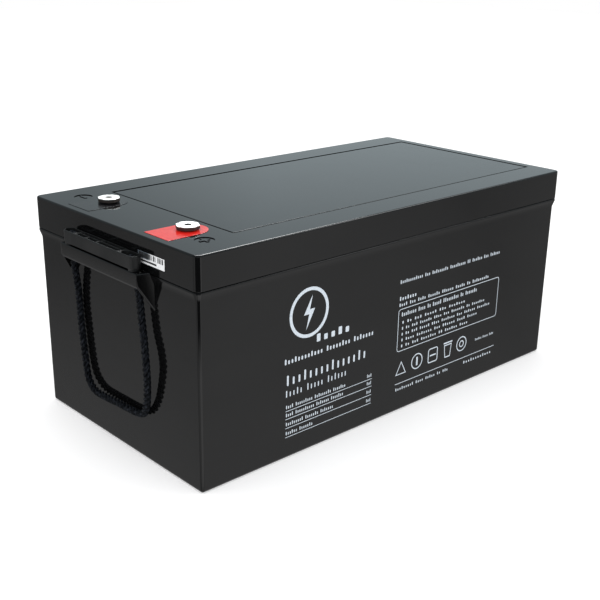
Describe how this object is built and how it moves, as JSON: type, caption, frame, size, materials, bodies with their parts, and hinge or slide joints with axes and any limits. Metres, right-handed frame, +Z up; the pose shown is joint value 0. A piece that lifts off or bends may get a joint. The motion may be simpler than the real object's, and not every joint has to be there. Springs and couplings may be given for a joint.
{
  "type": "deep cycle battery",
  "caption": "Boxy black deep cycle battery with round threaded top terminals, a lid cover plate, and sliding rope handles at both ends.",
  "frame": {"origin": "centre of the flat base", "axes": "+Z up, X along the long sides with both terminals at -X, Y across with the positive terminal at -Y"},
  "size_m": [0.548, 0.27, 0.23],
  "materials": {
    "case_plastic": "glossy black ABS",
    "grip_plastic": "satin black",
    "rope_fibre": "twisted black polypropylene rope",
    "plated_brass": "nickel plated",
    "tag_red": "bright red",
    "tag_black": "black",
    "label_paper": "white coated label",
    "seal_rubber": "black",
    "cell_wrap": "blue film",
    "insulator_sheet": "epoxy glass sheet",
    "aluminium": "mill finish",
    "tinned_copper": "copper bar",
    "circuit_board": "green solder mask",
    "cable_red": "silicone sheath",
    "cable_black": "silicone sheath",
    "strap_steel": "stainless band",
    "foam": "closed cell foam"
  },
  "bodies": {
    "case": {"barcode_sticker": "label_paper", "bms_board": "circuit_board", "bms_heat_sink": "aluminium", "bms_tray": "insulator_sheet", "busbar_1": "tinned_copper", "busbar_2": "tinned_copper", "busbar_3": "tinned_copper", "busbar_4": "tinned_copper", "busbar_5": "tinned_copper", "busbar_6": "tinned_copper", "busbar_7": "tinned_copper", "cell_1": "cell_wrap", "cell_2": "cell_wrap", "cell_3": "cell_wrap", "cell_4": "cell_wrap", "cell_5": "cell_wrap", "cell_6": "cell_wrap", "cell_7": "cell_wrap", "cell_8": "cell_wrap", "cell_insulator_1": "insulator_sheet", "cell_insulator_2": "insulator_sheet", "cell_insulator_3": "insulator_sheet", "cell_insulator_4": "insulator_sheet", "cell_insulator_5": "insulator_sheet", "cell_insulator_6": "insulator_sheet", "cell_insulator_7": "insulator_sheet", "container": "case_plastic", "floor_pad": "foam", "front_end_plate": "aluminium", "front_foam_block": "foam", "left_foam_block": "foam", "lid": "case_plastic", "lid_cover_plate": "case_plastic", "lid_seal": "seal_rubber", "lower_strap": "strap_steel", "negative_cable": "cable_black", "negative_tag": "tag_black", "negative_terminal": "plated_brass", "negative_terminal_seal": "seal_rubber", "positive_cable": "cable_red", "positive_tag": "tag_red", "positive_terminal": "plated_brass", "positive_terminal_seal": "seal_rubber", "rear_end_plate": "aluminium", "rear_foam_block": "foam", "right_foam_block": "foam", "stack_cable": "cable_black", "upper_strap": "strap_steel"},
    "left_handle": {"left_handle_grip": "grip_plastic", "left_handle_rope": "rope_fibre", "left_rope_knot_1": "rope_fibre", "left_rope_knot_2": "rope_fibre"},
    "right_handle": {"right_handle_grip": "grip_plastic", "right_handle_rope": "rope_fibre", "right_rope_knot_1": "rope_fibre", "right_rope_knot_2": "rope_fibre"}
  },
  "joints": [
    {"name": "left_handle_slide", "type": "slide", "parent": "case", "child": "left_handle", "axis": [0, 0, 1], "range_m": [0, 0.025]},
    {"name": "right_handle_slide", "type": "slide", "parent": "case", "child": "right_handle", "axis": [0, 0, 1], "range_m": [0, 0.025]}
  ]
}
